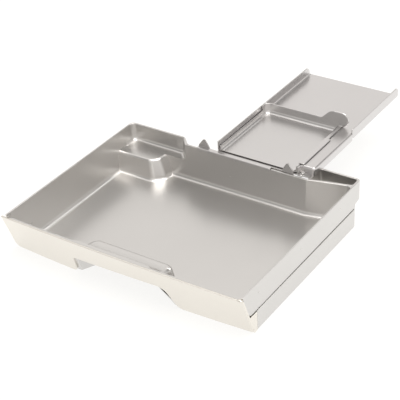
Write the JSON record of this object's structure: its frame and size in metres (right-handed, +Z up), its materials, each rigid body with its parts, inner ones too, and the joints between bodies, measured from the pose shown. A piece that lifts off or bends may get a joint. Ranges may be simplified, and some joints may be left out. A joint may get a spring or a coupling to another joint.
{
  "type": "pull-out collecting tray with rear channel",
  "caption": "Satin silver counting and collecting tray with a leaning front panel, a hooked-on rear channel and a lift-out pan.",
  "frame": {"origin": "centre of the carrier's resting face, on the table under the middle of the basin", "axes": "+Z up out of the table, +Y towards the rear channel, +X to the right of someone facing the front panel"},
  "size_m": [0.246, 0.3528, 0.0657],
  "materials": {
    "satin_silver": "satin metallised",
    "warm_silver": "satin metallised",
    "bright_metal": "polished",
    "fastener_steel": "brushed"
  },
  "bodies": {
    "carrier_body": {"carrier": "satin_silver", "front_fascia": "warm_silver", "fascia_screws": "fastener_steel"},
    "basin_body": {"basin": "satin_silver"},
    "channel_body": {"hook_bracket": "satin_silver", "rear_channel": "satin_silver", "channel_extension": "satin_silver", "extension_rivets": "fastener_steel", "latch_pin": "bright_metal"},
    "pan_body": {"lift_out_pan": "satin_silver"},
    "latch_body": {"latch_lever": "bright_metal"}
  },
  "joints": [
    {"name": "basin_lift", "type": "slide", "parent": "carrier_body", "child": "basin_body", "axis": [0, 0, 1], "range_m": [0, 0.045]},
    {"name": "channel_lift", "type": "slide", "parent": "basin_body", "child": "channel_body", "axis": [0, 0, 1], "range_m": [0, 0.02]},
    {"name": "pan_lift", "type": "slide", "parent": "channel_body", "child": "pan_body", "axis": [0, 0, 1], "range_m": [0, 0.025]},
    {"name": "latch_turn", "type": "hinge", "parent": "channel_body", "child": "latch_body", "pos_m": [0.07, 0.0813, 0.045], "axis": [0, 0, 1], "range_deg": [0, 80]}
  ]
}
